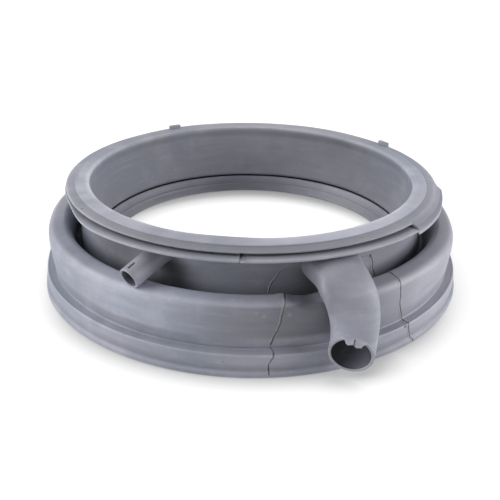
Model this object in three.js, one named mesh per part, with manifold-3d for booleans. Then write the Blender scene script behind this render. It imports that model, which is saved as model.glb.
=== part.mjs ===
// Washing machine door seal: one moulding of grey rubber.
// Millimetres, +Z up. The seal lies on its tub side, so the tub face is z = 0 and the front lip is on top.
// The axis of the seal is Z. Azimuths are in degrees from -Y, the side of the two spouts, growing to +X.
// Sections are drawn as [radius, height] and turned about Z.

import * as THREE from 'three';
import { mergeVertices } from 'three/addons/utils/BufferGeometryUtils.js';
import Module from 'manifold-3d';

// Whole seal
const TUB_RADIUS = 185; // outer edge of the tub flange, where the seal rests
const SEAL_HEIGHT = 82.5; // tub face to the face of the front lip
const SHEET = 3.4; // rubber thickness of the wall, the fold and the bulge

// Front flange: two lips with the panel groove between them
const DOOR_EDGE = 1.4; // rounding of that edge
const DOOR_BAND = 11; // width of the lip's face, from the door edge to the fine step round it
const STEP_DEPTH = 0.7;
const LIP_BAND = 8.5; // from that step to the upper lip's edge
const LIP_SLOPE = 0.7; // how far the outer band of the face falls to that edge
const LIP_EDGE = 1.7; // thickness of the upper lip at its edge
const GROOVE_GAP = 1.7; // height of the panel groove
const GROOVE_DEPTH = 6; // from the upper lip's edge to the groove's floor
const FLANGE_OVERHANG = 6.8; // lower lip's edge past the upper lip's
const FLANGE_EDGE = 1.8; // thickness of the lower lip at its edge
const FLANGE_ROOT = 4; // fillet where the lower lip meets the wall
const FLANGE_TAPER = 1.4; // how much thicker the lower lip is at the wall

// Wall and fold
const WALL_BELLY = 2.5; // how far the middle of the wall swells past the door edge
const BELLY_HEIGHT = 53; // middle of that swelling
const FOLD_WIDTH = 19.6; // inner face of the wall's foot to the foot of the bulge's inner flank
const FOLD_DRAW = 2.2; // how far the wall's foot lies inside the door edge
const FOLD_HEIGHT = 28; // underside of the fold
const FOLD_EDGE = 3.9; // rounding of the wall's foot, on the drum side

// Bulge
const BULGE_INSET = 7.4; // tub flange's edge to the bulge's widest place
const BULGE_WAIST = 41; // height of the widest place
const BULGE_TOP = 52.8; // top of the bulge
const BULGE_WIDTH = 21.2; // bulge's widest place to the inside of its inner flank, at the fold
const FLANK_LEAN = 7.5; // how far that flank leans outwards up to its top
const BULGE_ROUND = 3; // rounding inside the top of that flank
const SHOULDER_ROUND = 6.4; // rounding inside the outer shoulder
const TROUGH_ROUND = 6.4; // rounding under the trough's outer corner

// Tub flange: clamp band seat outside, rim groove underneath
const SEAT_INSET = 9.3; // tub flange's edge to the foot of the bulge
const SEAT_TOP = 18.6; // height of the bulge's foot
const SEAT_HEIGHT = 16.4; // floor of the seat
const SEAT_UNDERCUT = 1.1;
const SEAT_WIDTH = 6; // clamp band's width along the seat
const SEAT_LIP = 1.2; // height of the lip that keeps the band on
const RIM_TAPER = 2.8; // how far the top of the flange lies inside its foot
const CREASE_HEIGHT = 10.4; // step round the outside of the flange
const CREASE_STEP = 1.1;
const FOOT_OUTER = 4.6; // width of the outer foot
const RIM_GROOVE = 3.6; // width of the groove for the tub's rim
const RIM_DEPTH = 10;
const FOOT_INNER = 3.6; // width of the inner foot
const TUB_INSET = 12.9; // tub flange's edge to its inner face, above the web

// Web and drum collar
const WEB_SHEET = 2.8;
const WEB_ROOT = 12.6; // height of the web where it leaves the tub flange
const COLLAR_GAP = 2.6; // slit between the wall's foot and the collar
const COLLAR_OVERLAP = 1.6; // how far the collar's crest lies behind the wall's face
const COLLAR_WIDTH = 10.6; // crest of the web to the collar's inner edge
const COLLAR_HEIGHT = 14.6;
const BEAD_HEIGHT = 0.7; // fine bead round the middle of the collar
const BEAD_WIDTH = 2.4;

// Skirt on the right of the flange, in place of the groove
const SKIRT_FROM = 48;
const SKIRT_TO = 93;
const SKIRT_DROP = 5; // below the flange's edge
const SKIRT_SHEET = 3;

// Lower lip and skirt drawn in towards the upper lip at the two sides: azimuths where that starts, is whole,
// starts to end and has ended
const TRIM_LEFT = [-140, -116, -68, -44];
const TRIM_RIGHT = [62, 88, 92, 122];
const TRIM_CLEAR = 1; // lower lip past the upper one, where it is drawn in most

// Pull tabs at the back of the lip, and the groove's stop at the front
const TAB_AZIMUTHS = [-149.5, 125];
const TAB_WIDTH = 12;
const TAB_THICK = 3.6;
const TAB_RISE = 2.6; // above the lip's face
const STOP_AZIMUTH = -2.8;
const STOP_WIDTH = 1.2;

// Inlet spigot, a plain round tube that slopes down and out over the bulge
const SPIGOT_AZIMUTH = -27.5; // place of its mouth
const SPIGOT_REACH = 1.8; // middle of its mouth inside the bulge's widest place
const SPIGOT_HEIGHT = 59;
const SPIGOT_HEADING = -39.4; // azimuth that it points to
const SPIGOT_SLOPE = 16.6; // degrees below level
const SPIGOT_RADIUS = 8.1;
const SPIGOT_BORE = 5.7;
const SPIGOT_LENGTH = 38;
const SPIGOT_SIDES = 20;

// Drain spout, a flat root under the flange that turns down over the bulge into a round mouth
const SPOUT_WALL = 2;
const SPOUT_CLEAR = 0.8; // between the spout's root and the bulge under it
const SPOUT_ROOT_AZIMUTH = 22.2;
const SPOUT_ROOT_HALF = 21; // half the root's width
const SPOUT_REACH = 11; // middle of the mouth beyond the tub flange
const SPOUT_MOUTH_AZIMUTH = 20.2;
const SPOUT_MOUTH_HEIGHT = 20.2; // middle of the mouth
const SPOUT_MOUTH_HALF = 15.3; // half the mouth's width
const SPOUT_MOUTH_RISE = 15.3; // half the mouth's height
const SPOUT_MOUTH_FACING = -14.5; // azimuth that the mouth faces
const SPOUT_MOUTH_SLOPE = 9; // degrees that it faces below level
const SPOUT_SIDES = 22;
const SPOUT_STEPS = 14;

// Torn flap that hangs over the mouth: [across, down from the mouth's top] along its ragged edge
const FLAP_THICK = 2;
const FLAP_SEGMENTS = 5; // pieces of its root, along the wall
const FLAP_EDGE = [
  [-4.8, 2.6], [-4, 5.8], [-2.6, 7.3], [1.3, 6.4],
  [3.4, 8.6], [6.6, 7.9], [8.2, 4.8], [10, 6],
];

// Fineness
const TURN_STEPS = 66; // facets round the seal
const ARC_STEP = 0.8; // turn of a fillet between two points, in radians, where it divides evenly

const wasm = await Module();
wasm.setup();

// Closed geometry to solid, with only the positions left so that shared corners are merged.
function solidFrom(geometry) {
  const bare = geometry.index ? geometry.toNonIndexed() : geometry.clone();
  bare.deleteAttribute('normal');
  bare.deleteAttribute('uv');
  const merged = mergeVertices(bare, 1e-3);
  return new wasm.Manifold(new wasm.Mesh({
    numProp: 3,
    vertProperties: merged.attributes.position.array,
    triVerts: new Uint32Array(merged.index.array),
  }));
}

// Solid to geometry.
function geometryFrom(solid) {
  const mesh = solid.getMesh();
  const geometry = new THREE.BufferGeometry();
  geometry.setAttribute('position', new THREE.BufferAttribute(mesh.vertProperties, 3));
  geometry.setIndex(new THREE.BufferAttribute(mesh.triVerts, 1));
  geometry.computeVertexNormals();
  return geometry;
}

const corner = (radius, height, fillet = 0) => ({ at: new THREE.Vector2(radius, height), fillet });
const heading = (from, to) => to.at.clone().sub(from.at).normalize();
const leftOf = (direction) => new THREE.Vector2(-direction.y, direction.x);

// A run of corners moved to its left by a thickness, with each fillet kept concentric.
function thicken(corners, thickness) {
  return corners.map((c, i) => {
    const before = heading(corners[Math.max(i - 1, 0)], corners[Math.max(i, 1)]);
    const last = corners.length - 1;
    const after = heading(corners[Math.min(i, last - 1)], corners[Math.min(i + 1, last)]);
    const a = leftOf(before);
    const b = leftOf(after);
    const move = a.clone().add(b).multiplyScalar(thickness / (1 + a.dot(b)));
    const turn = Math.sign(before.cross(after));
    const fillet = c.fillet > 0 ? Math.max(0, c.fillet - turn * thickness) : 0;
    return { at: c.at.clone().add(move), fillet };
  });
}

// Closed run of corners to points, each fillet an arc that takes up at most half of its shorter side.
function rounded(corners) {
  const points = [];
  corners.forEach((c, i) => {
    const previous = corners.at(i - 1);
    const next = corners[(i + 1) % corners.length];
    const before = heading(previous, c);
    const after = heading(c, next);
    const turn = Math.atan2(before.cross(after), before.dot(after));
    const room = 0.48 * Math.min(c.at.distanceTo(previous.at), c.at.distanceTo(next.at));
    const radius = Math.min(c.fillet, room / Math.tan(Math.abs(turn) / 2 + 1e-9));
    if (radius < 0.1 || Math.abs(turn) < 0.05) {
      points.push(c.at.clone());
      return;
    }
    const tangent = radius * Math.tan(Math.abs(turn) / 2);
    const start = c.at.clone().addScaledVector(before, -tangent);
    const centre = start.clone().addScaledVector(leftOf(before), Math.sign(turn) * radius);
    const steps = Math.max(1, Math.round(Math.abs(turn) / ARC_STEP));
    for (let k = 0; k <= steps; k += 1) {
      points.push(start.clone().rotateAround(centre, turn * k / steps));
    }
  });
  return points;
}

// Closed section turned all the way round the seal's axis.
function revolve(corners) {
  const outline = rounded(corners);
  outline.push(outline[0].clone());
  const geometry = new THREE.LatheGeometry(outline, TURN_STEPS);
  geometry.rotateX(Math.PI / 2);
  return solidFrom(geometry);
}

// Wedge of the whole seal between two azimuths.
function sector(from, to) {
  const reach = TUB_RADIUS * 2;
  const spokes = [0, 1 / 3, 2 / 3, 1].map((share) => {
    const angle = THREE.MathUtils.degToRad(from + (to - from) * share - 90);
    return new THREE.Vector2(reach * Math.cos(angle), reach * Math.sin(angle));
  });
  const outline = new THREE.Shape([new THREE.Vector2(0, 0), ...spokes]);
  const geometry = new THREE.ExtrudeGeometry(outline, { depth: SEAL_HEIGHT * 2, bevelEnabled: false });
  return solidFrom(geometry);
}

// Frame at an azimuth: outward, sideways (towards greater azimuths) and up.
function frameAt(azimuth) {
  const angle = THREE.MathUtils.degToRad(azimuth);
  return {
    out: new THREE.Vector3(Math.sin(angle), -Math.cos(angle), 0),
    side: new THREE.Vector3(Math.cos(angle), Math.sin(angle), 0),
    up: new THREE.Vector3(0, 0, 1),
  };
}

// A small block, centred at an azimuth, between two radii and two heights.
function block(azimuth, width, radii, heights) {
  const geometry = new THREE.BoxGeometry(width, radii[1] - radii[0], heights[1] - heights[0]);
  geometry.translate(0, -(radii[0] + radii[1]) / 2, (heights[0] + heights[1]) / 2);
  geometry.rotateZ(THREE.MathUtils.degToRad(azimuth));
  return solidFrom(geometry);
}

// Tube skinned over rings of points, with flat ends.
function skin(rings) {
  const count = rings[0].length;
  const positions = rings.flat();
  const faces = [];
  for (let i = 0; i + 1 < rings.length; i += 1) {
    for (let j = 0; j < count; j += 1) {
      const a = i * count + j;
      const b = i * count + (j + 1) % count;
      faces.push(a, b, b + count, a, b + count, a + count);
    }
  }
  for (const [ring, flip] of [[0, true], [rings.length - 1, false]]) {
    for (let j = 1; j + 1 < count; j += 1) {
      const a = ring * count + j;
      const b = ring * count + j + 1;
      faces.push(ring * count, flip ? b : a, flip ? a : b);
    }
  }
  const geometry = new THREE.BufferGeometry().setFromPoints(positions);
  geometry.setIndex(faces);
  return solidFrom(geometry);
}

// Radii from the tub flange inwards to the wall's foot, and from the door edge out to the lips
const bulgeRadius = TUB_RADIUS - BULGE_INSET;
const flankFoot = bulgeRadius - BULGE_WIDTH;
const flankHead = flankFoot + FLANK_LEAN;
const foldRadius = flankFoot - FOLD_WIDTH;
const doorRadius = foldRadius + FOLD_DRAW;
const stepRadius = doorRadius + DOOR_BAND;
const lipRadius = stepRadius + LIP_BAND;
const flangeRadius = lipRadius + FLANGE_OVERHANG;

// Heights on the front flange
const stepHeight = SEAL_HEIGHT - STEP_DEPTH;
const lipTop = stepHeight - LIP_SLOPE;
const lipUnder = lipTop - LIP_EDGE;
const flangeTop = lipUnder - GROOVE_GAP;
const flangeUnder = flangeTop - FLANGE_EDGE;
const grooveFloor = lipRadius - GROOVE_DEPTH;

// Radii on the tub flange
const seatFoot = TUB_RADIUS - SEAT_INSET;
const rimTop = TUB_RADIUS - RIM_TAPER;
const tubInner = TUB_RADIUS - TUB_INSET;
const grooveOuter = TUB_RADIUS - FOOT_OUTER;
const grooveInner = grooveOuter - RIM_GROOVE;
const footInner = grooveInner - FOOT_INNER;

// Drum side of the sheet: down the wall, under the fold, round the bulge and onto the tub flange
const lining = [
  corner(doorRadius, SEAL_HEIGHT - 2 * DOOR_EDGE),
  corner(doorRadius + WALL_BELLY, BELLY_HEIGHT),
  corner(foldRadius, FOLD_HEIGHT, FOLD_EDGE),
  corner(flankFoot, FOLD_HEIGHT, TROUGH_ROUND),
  corner(flankHead, BULGE_TOP - SHEET, BULGE_ROUND),
  corner(bulgeRadius - SHEET - 0.4, BULGE_TOP - SHEET - 0.6, SHOULDER_ROUND),
  corner(bulgeRadius - SHEET, BULGE_WAIST),
  corner(seatFoot - SHEET, SEAT_TOP),
];

// Water side of the web, from the tub flange to the crest and down the collar
const crestHeight = FOLD_HEIGHT - COLLAR_GAP;
const crestRadius = foldRadius + COLLAR_OVERLAP;
const web = [
  corner(tubInner, WEB_ROOT),
  corner(crestRadius, crestHeight),
  corner(crestRadius - COLLAR_WIDTH, COLLAR_HEIGHT),
];

// Fine bead round the middle of the collar's sloping face.
function collarBead() {
  const [crest, edge] = web.slice(1);
  const along = heading(crest, edge);
  const middle = crest.at.clone().lerp(edge.at, 0.5);
  return [[-BEAD_WIDTH / 2, 0], [0, BEAD_HEIGHT], [BEAD_WIDTH / 2, 0]].map(([distance, rise]) => {
    const at = middle.clone().addScaledVector(along, distance).addScaledVector(leftOf(along), -rise);
    return corner(at.x, at.y);
  });
}

// The one section of the seal, drum side first, then the tub flange and back along the outside
function sealSection() {
  const outside = thicken(lining, SHEET).reverse();
  outside.pop();
  const wallOutside = outside.at(-1).at.x;
  const underWeb = thicken(web, WEB_SHEET).reverse();
  return [
    corner(stepRadius, SEAL_HEIGHT),
    corner(doorRadius, SEAL_HEIGHT, DOOR_EDGE),
    ...lining.slice(1),
    ...web.slice(0, 2),
    ...collarBead(),
    web.at(-1),
    ...underWeb,
    corner(footInner, WEB_ROOT - 2 * WEB_SHEET),
    corner(footInner, 0),
    corner(grooveInner, 0),
    corner(grooveInner, RIM_DEPTH),
    corner(grooveOuter, RIM_DEPTH),
    corner(grooveOuter, 0),
    corner(TUB_RADIUS, 0),
    corner(rimTop + CREASE_STEP, CREASE_HEIGHT - CREASE_STEP),
    corner(rimTop, CREASE_HEIGHT),
    corner(rimTop, SEAT_HEIGHT + SEAT_LIP),
    corner(seatFoot - SEAT_UNDERCUT + SEAT_WIDTH, SEAT_HEIGHT),
    corner(seatFoot - SEAT_UNDERCUT, SEAT_HEIGHT),
    ...outside,
    corner(wallOutside, flangeUnder - FLANGE_TAPER, FLANGE_ROOT),
    corner(flangeRadius, flangeUnder),
    corner(flangeRadius, flangeTop),
    corner(grooveFloor, flangeTop),
    corner(grooveFloor, lipUnder),
    corner(lipRadius, lipUnder),
    corner(lipRadius, lipTop),
    corner(stepRadius + STEP_DEPTH, stepHeight),
  ];
}

// Smooth apron over the groove, on the right of the flange.
function flangeSkirt() {
  const foot = flangeUnder - SKIRT_DROP;
  const ring = revolve([
    corner(lipRadius - SKIRT_SHEET, lipUnder - SKIRT_SHEET),
    corner(flangeRadius - SKIRT_SHEET, flangeTop - SKIRT_SHEET, SKIRT_SHEET),
    corner(flangeRadius - SKIRT_SHEET, foot),
    corner(flangeRadius, foot),
    corner(flangeRadius, flangeTop, SKIRT_SHEET),
    corner(lipRadius, lipTop),
    corner(lipRadius - SKIRT_SHEET, lipTop),
  ]);
  return ring.intersect(sector(SKIRT_FROM, SKIRT_TO));
}

// What is taken off the lower lip and the skirt at the sides, as a ring that is open in the middle.
function sideTrim() {
  const draw = ([start, whole, fading, end], azimuth) => (
    THREE.MathUtils.smoothstep(azimuth, start, whole) * (1 - THREE.MathUtils.smoothstep(azimuth, fading, end))
  );
  const edge = (azimuth) => {
    const share = draw(TRIM_LEFT, azimuth) + draw(TRIM_RIGHT, azimuth);
    return THREE.MathUtils.lerp(flangeRadius + 0.5, lipRadius + TRIM_CLEAR, share);
  };
  const inner = Array.from({ length: TURN_STEPS }, (_, i) => {
    const azimuth = 360 * i / TURN_STEPS - 180;
    const at = frameAt(azimuth).out.multiplyScalar(edge(azimuth));
    return new THREE.Vector2(at.x, at.y);
  });
  const outline = new THREE.Shape();
  outline.absarc(0, 0, flangeRadius + 3, 0, 2 * Math.PI, false);
  outline.holes.push(new THREE.Path(inner));
  const foot = BULGE_TOP + 2;
  const geometry = new THREE.ExtrudeGeometry(outline, { depth: SEAL_HEIGHT - foot, bevelEnabled: false });
  geometry.translate(0, 0, foot);
  return solidFrom(geometry);
}

// Round tube whose far end is the mouth, as rings from its root.
function spigotRings(radius, overrun) {
  const place = frameAt(SPIGOT_AZIMUTH);
  const mouth = place.out.clone().multiplyScalar(bulgeRadius - SPIGOT_REACH);
  mouth.addScaledVector(place.up, SPIGOT_HEIGHT);
  const level = frameAt(SPIGOT_HEADING);
  const slope = THREE.MathUtils.degToRad(SPIGOT_SLOPE);
  const along = level.out.clone().multiplyScalar(Math.cos(slope)).addScaledVector(level.up, -Math.sin(slope));
  const across = level.side;
  const upright = across.clone().cross(along).negate();
  return [-SPIGOT_LENGTH - overrun, overrun].map((distance) => {
    const centre = mouth.clone().addScaledVector(along, distance);
    return Array.from({ length: SPIGOT_SIDES }, (_, j) => {
      const turn = 2 * Math.PI * j / SPIGOT_SIDES;
      return centre.clone()
        .addScaledVector(across, radius * Math.cos(turn))
        .addScaledVector(upright, radius * Math.sin(turn));
    });
  });
}

// Stations of the drain spout, from inside the wall to the mouth: where the middle of each ring is, half its
// width, half its height, and the azimuth and slope that it faces.
function spoutStations() {
  const wall = doorRadius + WALL_BELLY + SHEET;
  const under = flangeUnder - FLANGE_TAPER;
  const over = BULGE_TOP + SPOUT_CLEAR;
  const middle = (under + over) / 2;
  const rise = (under - over) / 2;
  const root = SPOUT_ROOT_HALF;
  const from = SPOUT_ROOT_AZIMUTH;
  const to = SPOUT_MOUTH_AZIMUTH;
  const mouth = TUB_RADIUS + SPOUT_REACH;
  const drop = SPOUT_MOUTH_HEIGHT;
  const half = SPOUT_MOUTH_HALF;
  const tall = SPOUT_MOUTH_RISE;
  const face = SPOUT_MOUTH_FACING;
  const station = (radius, height, azimuth, wide, high, facing, slope) => (
    { radius, height, azimuth, half: wide, rise: high, facing, slope }
  );
  return [
    station(wall - 4, middle - 2, from, root - 1, rise - 1.6, from, 0),
    station(wall + 7, middle - 0.6, from, root, rise - 0.2, from, 0),
    station(flangeRadius + 1, middle - 0.4, from - 0.9, root - 0.9, rise - 0.3, from, 2),
    station(bulgeRadius - 1, middle - 2.8, from - 1.1, root - 0.9, rise - 1.6, from + 2, 14),
    station(mouth - 12, middle - 10.6, from - 0.7, root - 1.7, rise - 2.4, from - 0.4, 27),
    station(mouth - 8, drop + 21.9, to + 1.6, half + 1.6, rise - 1.4, face + 19.8, 29),
    station(mouth - 4, drop + 10.5, to + 1, half + 0.35, tall - 3, face + 7, 20),
    station(mouth, drop, to, half, tall, face, SPOUT_MOUTH_SLOPE),
  ];
}

// Rings of the drain spout, drawn in by a wall's thickness for the bore and carried on past both ends.
function spoutRings(inset, overrun) {
  const stations = spoutStations();
  const curveOf = (pick) => new THREE.CatmullRomCurve3(stations.map(pick), false, 'catmullrom', 0.5);
  const places = curveOf((s) => new THREE.Vector3(s.radius, s.height, s.azimuth));
  const sizes = curveOf((s) => new THREE.Vector3(s.half, s.rise, 0));
  const turns = curveOf((s) => new THREE.Vector3(s.facing, s.slope, 0));
  const ringAt = (share, past) => {
    const place = places.getPoint(share);
    const size = sizes.getPoint(share);
    const turn = turns.getPoint(share);
    const frame = frameAt(turn.x);
    const slope = THREE.MathUtils.degToRad(turn.y);
    const along = frame.out.clone().multiplyScalar(Math.cos(slope));
    along.addScaledVector(frame.up, -Math.sin(slope));
    const upright = frame.out.clone().multiplyScalar(Math.sin(slope));
    upright.addScaledVector(frame.up, Math.cos(slope));
    const middle = frameAt(place.z).out.multiplyScalar(place.x).addScaledVector(frame.up, place.y);
    middle.addScaledVector(along, past);
    return Array.from({ length: SPOUT_SIDES }, (_, j) => {
      const angle = 2 * Math.PI * j / SPOUT_SIDES;
      return middle.clone()
        .addScaledVector(frame.side, (size.x - inset) * Math.cos(angle))
        .addScaledVector(upright, (size.y - inset) * Math.sin(angle));
    });
  };
  const rings = Array.from({ length: SPOUT_STEPS + 1 }, (_, i) => ringAt(i / SPOUT_STEPS, 0));
  return overrun > 0 ? [ringAt(0, -overrun), ...rings, ringAt(1, overrun)] : rings;
}

// Torn flap of rubber that hangs over the top of the mouth.
function tornFlap() {
  const outline = new THREE.Shape();
  const edge = FLAP_EDGE.map(([across, down]) => new THREE.Vector2(across, SPOUT_MOUTH_RISE - down));
  const root = SPOUT_MOUTH_RISE - SPOUT_WALL / 2;
  outline.setFromPoints(edge);
  outline.absarc(0, 0, root, edge.at(-1).angle(), edge[0].angle(), false);
  const geometry = new THREE.ExtrudeGeometry(outline, {
    depth: FLAP_THICK,
    bevelEnabled: false,
    curveSegments: FLAP_SEGMENTS,
  });
  geometry.rotateX(Math.PI / 2);
  geometry.translate(0, FLAP_THICK, 0);
  geometry.rotateX(THREE.MathUtils.degToRad(SPOUT_MOUTH_SLOPE));
  geometry.rotateZ(THREE.MathUtils.degToRad(SPOUT_MOUTH_FACING));
  const middle = frameAt(SPOUT_MOUTH_AZIMUTH).out.multiplyScalar(TUB_RADIUS + SPOUT_REACH);
  geometry.translate(middle.x, middle.y, SPOUT_MOUTH_HEIGHT);
  return solidFrom(geometry);
}

// The whole moulding: the turned section, what stands on it, and the two bores cut through.
function doorSeal() {
  let seal = revolve(sealSection());
  seal = seal.add(flangeSkirt()).subtract(sideTrim());
  for (const azimuth of TAB_AZIMUTHS) {
    const radii = [lipRadius - TAB_THICK, lipRadius];
    seal = seal.add(block(azimuth, TAB_WIDTH, radii, [lipUnder, SEAL_HEIGHT + TAB_RISE]));
  }
  seal = seal.add(block(STOP_AZIMUTH, STOP_WIDTH, [grooveFloor - 1, lipRadius], [flangeUnder, lipTop - 0.3]));
  seal = seal.add(skin(spigotRings(SPIGOT_RADIUS, 0)));
  seal = seal.add(skin(spoutRings(0, 0)));
  seal = seal.subtract(skin(spigotRings(SPIGOT_BORE, 6)));
  seal = seal.subtract(skin(spoutRings(SPOUT_WALL, 12)));
  return seal.add(tornFlap());
}

const rubber = new THREE.MeshStandardMaterial({ color: 0x8b8d99, roughness: 0.62, metalness: 0 });
const doorSealMesh = new THREE.Mesh(geometryFrom(doorSeal()), rubber);
doorSealMesh.name = 'door_seal';

const washingMachineSeal = new THREE.Group();
washingMachineSeal.add(doorSealMesh);

export default washingMachineSeal;
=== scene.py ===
"""Washing machine door seal: one moulding of grey rubber, lying on its tub side.

The seal's axis is Z and the tub face is z = 0. Azimuths are in degrees from -Y, the side of the two spouts,
positive towards +X. Sizes are in millimetres until a mesh is made, which is in metres.
"""

import logging
from dataclasses import dataclass
from enum import Enum
from typing import Sequence

import bpy
import numpy as np
from bpy.types import ID, Material, Node, NodeSocket as Socket, Object
from mathutils import Matrix

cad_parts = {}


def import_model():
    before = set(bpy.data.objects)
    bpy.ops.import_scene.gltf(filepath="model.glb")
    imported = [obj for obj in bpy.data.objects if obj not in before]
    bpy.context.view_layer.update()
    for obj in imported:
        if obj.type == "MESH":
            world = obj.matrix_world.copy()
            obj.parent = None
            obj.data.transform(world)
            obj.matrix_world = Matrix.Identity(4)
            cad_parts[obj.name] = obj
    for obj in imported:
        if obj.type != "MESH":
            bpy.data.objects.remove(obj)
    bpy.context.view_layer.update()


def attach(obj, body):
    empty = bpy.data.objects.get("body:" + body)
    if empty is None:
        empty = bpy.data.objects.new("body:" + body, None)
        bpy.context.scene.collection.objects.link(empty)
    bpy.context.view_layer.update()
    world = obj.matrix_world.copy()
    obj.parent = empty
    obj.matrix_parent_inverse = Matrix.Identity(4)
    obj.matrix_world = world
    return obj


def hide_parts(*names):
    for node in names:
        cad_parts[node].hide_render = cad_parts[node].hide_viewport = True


LOG = logging.getLogger("door_seal")
METRES = 0.001
TURN = 360.0
UP = np.array([0.0, 0.0, 1.0])
NODE = "door_seal"
FAR_OFF = 60.0
HALF_SIDE = 0.48
NO_TURN = 1e-9
Grid = np.ndarray
Value = np.ndarray | float
Triple = tuple[float, float, float]
Ramp = tuple[float, float, float, float]


class Mark(Enum):
    """Numbers that a mesh carries for its material, one for each vertex.

    They are how dusty the rubber is, how dark it is made by grime and painted shade, the distance in
    millimetres from a crack's line, how strong the crack is (under zero for a raised line), and how much
    paler or darker the rubber is made by painted light and shade.
    """

    WEAR = "wear"
    GRIME_AND_SHADE = "grime_and_shade"
    TEAR = "tear"
    RENT = "rent"
    PAINTED_LIGHT = "painted_light"


class Turn(Enum):
    """Which of a grid's two ways close into rings."""

    BOTH = "both"
    COLUMNS = "columns"
    NEITHER = "neither"


def smooth_step(value: Grid, start: float, end: float) -> Grid:
    """Eased share of the way from start to end: 3t^2 - 2t^3 of the share t, clipped to between 0 and 1."""
    t = np.clip((np.asarray(value, float) - start) / (end - start), 0.0, 1.0)
    return t * t * (3.0 - 2.0 * t)


def between(value: Grid, start: float, full: float, fade: float, end: float) -> Grid:
    """Eased share up from start to full and down from fade to end: one step times one less the other."""
    return smooth_step(value, start, full) * (1 - smooth_step(value, fade, end))


def bell(value: Grid, middle: float, width: float) -> Grid:
    """Bell curve: e to the power of minus the squared distance from the middle over the width."""
    return np.exp(-(((np.asarray(value, float) - middle) / width) ** 2))


def signed_power(value: Grid, power: Value) -> Grid:
    """A value's size to a power, with the value's sign."""
    return np.sign(value) * np.abs(value) ** power


def spaced(line: Grid, weight: Grid, count: int) -> Grid:
    """Places along a line, as close as the weight is high: its running sum, read back at equal parts."""
    total = np.concatenate([[0.0], np.cumsum(weight[1:])])
    return np.interp(np.arange(count) * total[-1] / count, total, line)


def frame_at(azimuth: Grid) -> tuple[Grid, Grid]:
    """Level directions at azimuths: outward is (sin a, -cos a, 0) and sideways is (cos a, sin a, 0).

    Args:
        azimuth: azimuths in degrees, of any shape.

    Returns:
        Outward and sideways unit vectors, with one more axis than azimuth.
    """
    a = np.radians(np.asarray(azimuth, float))
    flat = np.zeros_like(a)
    out = np.stack([np.sin(a), -np.cos(a), flat], axis=-1)
    side = np.stack([np.cos(a), np.sin(a), flat], axis=-1)
    return out, side


def tipped(out: Grid, slope: Value) -> tuple[Grid, Grid]:
    """Ways along and upright of a tube sloping down: out cos - up sin, and out sin + up cos of its slope."""
    angle = np.radians(slope)
    return out * np.cos(angle) - UP * np.sin(angle), out * np.sin(angle) + UP * np.cos(angle)


def eased_curve(points: Grid, count: int) -> Grid:
    """Catmull-Rom curve through rows of numbers, evenly spaced in the rows' own parameter.

    Between rows b and c, with neighbours a and d, it is half of
    2b + (c - a)t + (2a - 5b + 4c - d)t^2 + (3b - a - 3c + d)t^3.

    Args:
        points: rows that the curve goes through, one column for each number that it carries.
        count: how many points to take along it.

    Returns:
        Array of count rows.
    """
    rows = np.vstack([2 * points[0] - points[1], points, 2 * points[-1] - points[-2]])
    at = np.linspace(0.0, len(points) - 1.0, count)
    low = np.minimum(at.astype(int), len(points) - 2)
    t = (at - low)[:, None]
    a, b, c, d = (rows[low + k] for k in range(4))
    return 0.5 * (
        2 * b + (c - a) * t + (2 * a - 5 * b + 4 * c - d) * t**2 + (3 * b - a - 3 * c + d) * t**3
    )


def grid_faces(rows: int, columns: int, turn: Turn) -> Grid:
    """Four-sided faces of a grid, over its closing edge too where it closes.

    Args:
        rows: number of rows of vertices.
        columns: number of vertices in a row.
        turn: which ways the grid closes.

    Returns:
        Array of four vertex numbers for each face.
    """
    down = rows if turn is Turn.BOTH else rows - 1
    across = columns - 1 if turn is Turn.NEITHER else columns
    i, j = np.meshgrid(np.arange(down), np.arange(across), indexing="ij")
    below = (i + 1) % rows
    beside = (j + 1) % columns
    corners = [i * columns + j, i * columns + beside, below * columns + beside, below * columns + j]
    return np.stack(corners, axis=-1).reshape(-1, 4)


def signed_volume(points: Grid, faces: Grid) -> float:
    """Volume inside four-sided faces: a sixth of the triple products of their two triangles' corners."""
    a, b, c, d = (points[faces[:, k]] for k in range(4))
    return float(np.einsum("ij,ij->", a, np.cross(b, c)) + np.einsum("ij,ij->", a, np.cross(c, d))) / 6.0


def all_marks(
    shape: tuple[int, int],
    wear: Value = 0.0,
    grime_and_shade: Value = 0.0,
    tear: Value = FAR_OFF,
    rent: Value = 0.0,
    painted_light: Value = 0.0,
) -> dict[Mark, Grid]:
    """Every mark of a grid of rows and columns, each value spread over the whole grid."""
    values = (wear, grime_and_shade, tear, rent, painted_light)
    return {mark: np.broadcast_to(value, shape) for mark, value in zip(Mark, values)}


def new_object(name: str, data: ID) -> Object:
    """Puts a mesh, lamp or camera into the scene.

    Args:
        name: the object's name.
        data: what it shows.

    Returns:
        The new object.
    """
    made = bpy.data.objects.new(name, data)
    bpy.context.scene.collection.objects.link(made)
    return made


def set_place(thing: Object, axes: Sequence[Grid], place: Grid) -> None:
    """Turns and moves an object: its matrix has the three axes and the place as columns.

    Args:
        thing: the object.
        axes: its own x, y and z directions.
        place: its origin in metres.
    """
    matrix = Matrix.Identity(4)
    for k, column in enumerate((*axes, place)):
        matrix.col[k][:3] = column.tolist()
    thing.matrix_world = matrix


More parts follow.
